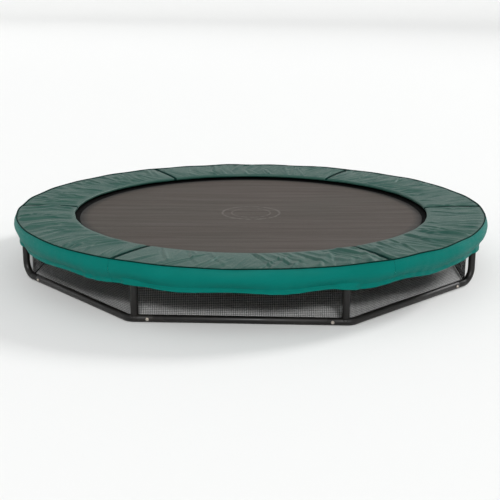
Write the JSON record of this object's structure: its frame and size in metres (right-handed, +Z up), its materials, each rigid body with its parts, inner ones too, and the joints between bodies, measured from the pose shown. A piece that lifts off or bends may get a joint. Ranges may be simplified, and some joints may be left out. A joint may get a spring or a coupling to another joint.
{
  "type": "trampoline",
  "caption": "Round low-standing garden trampoline: tubular ring on joined legs, sprung woven mat, padded green edge with hanging skirt and side net.",
  "frame": {"origin": "on the ground under the centre of the mat, at the middle of the object's lowest plane", "axes": "+Z up; the front is -Y and the right side is +X"},
  "size_m": [3.05, 3.05, 0.35],
  "materials": {
    "black_coat": "satin",
    "zinc_bolt": "satin",
    "spring_steel": "satin",
    "mat_weave": "matte",
    "black_webbing": "matte",
    "green_vinyl": "satin",
    "black_net": "matte"
  },
  "bodies": {
    "frame": {"base_tube_back": "black_coat", "base_tube_front": "black_coat", "elbow_bolt_back_left": "zinc_bolt", "elbow_bolt_back_right": "zinc_bolt", "elbow_bolt_front_left": "zinc_bolt", "elbow_bolt_front_right": "zinc_bolt", "elbow_leg_back_left": "black_coat", "elbow_leg_back_right": "black_coat", "elbow_leg_front_left": "black_coat", "elbow_leg_front_right": "black_coat", "net_back": "black_net", "net_front": "black_net", "pad_1": "green_vinyl", "pad_2": "green_vinyl", "pad_3": "green_vinyl", "pad_4": "green_vinyl", "pad_5": "green_vinyl", "pad_6": "green_vinyl", "ring_tube_1": "black_coat", "ring_tube_2": "black_coat", "ring_tube_3": "black_coat", "ring_tube_4": "black_coat", "ring_tube_5": "black_coat", "ring_tube_6": "black_coat", "ring_tube_7": "black_coat", "ring_tube_8": "black_coat", "socket_bolt_1": "zinc_bolt", "socket_bolt_2": "zinc_bolt", "socket_bolt_3": "zinc_bolt", "socket_bolt_4": "zinc_bolt", "socket_bolt_5": "zinc_bolt", "socket_bolt_6": "zinc_bolt", "socket_bolt_7": "zinc_bolt", "socket_bolt_8": "zinc_bolt", "spring_1": "spring_steel", "spring_10": "spring_steel", "spring_11": "spring_steel", "spring_12": "spring_steel", "spring_13": "spring_steel", "spring_14": "spring_steel", "spring_15": "spring_steel", "spring_16": "spring_steel", "spring_2": "spring_steel", "spring_3": "spring_steel", "spring_4": "spring_steel", "spring_5": "spring_steel", "spring_6": "spring_steel", "spring_7": "spring_steel", "spring_8": "spring_steel", "spring_9": "spring_steel", "tee_bolt_back_left": "zinc_bolt", "tee_bolt_back_right": "zinc_bolt", "tee_bolt_front_left": "zinc_bolt", "tee_bolt_front_right": "zinc_bolt", "tee_leg_back_left": "black_coat", "tee_leg_back_right": "black_coat", "tee_leg_front_left": "black_coat", "tee_leg_front_right": "black_coat"},
    "mat": {"jumping_mat": "mat_weave", "mat_webbing": "black_webbing"}
  },
  "joints": [
    {"name": "mat_bounce", "type": "slide", "parent": "frame", "child": "mat", "axis": [0, 0, 1], "range_m": [-0.15, 0.01], "stiffness_N_per_m": 6000, "springref_m": 0.006, "deforming": ["spring_1", "spring_10", "spring_11", "spring_12", "spring_13", "spring_14", "spring_15", "spring_16", "spring_2", "spring_3", "spring_4", "spring_5", "spring_6", "spring_7", "spring_8", "spring_9"]}
  ]
}
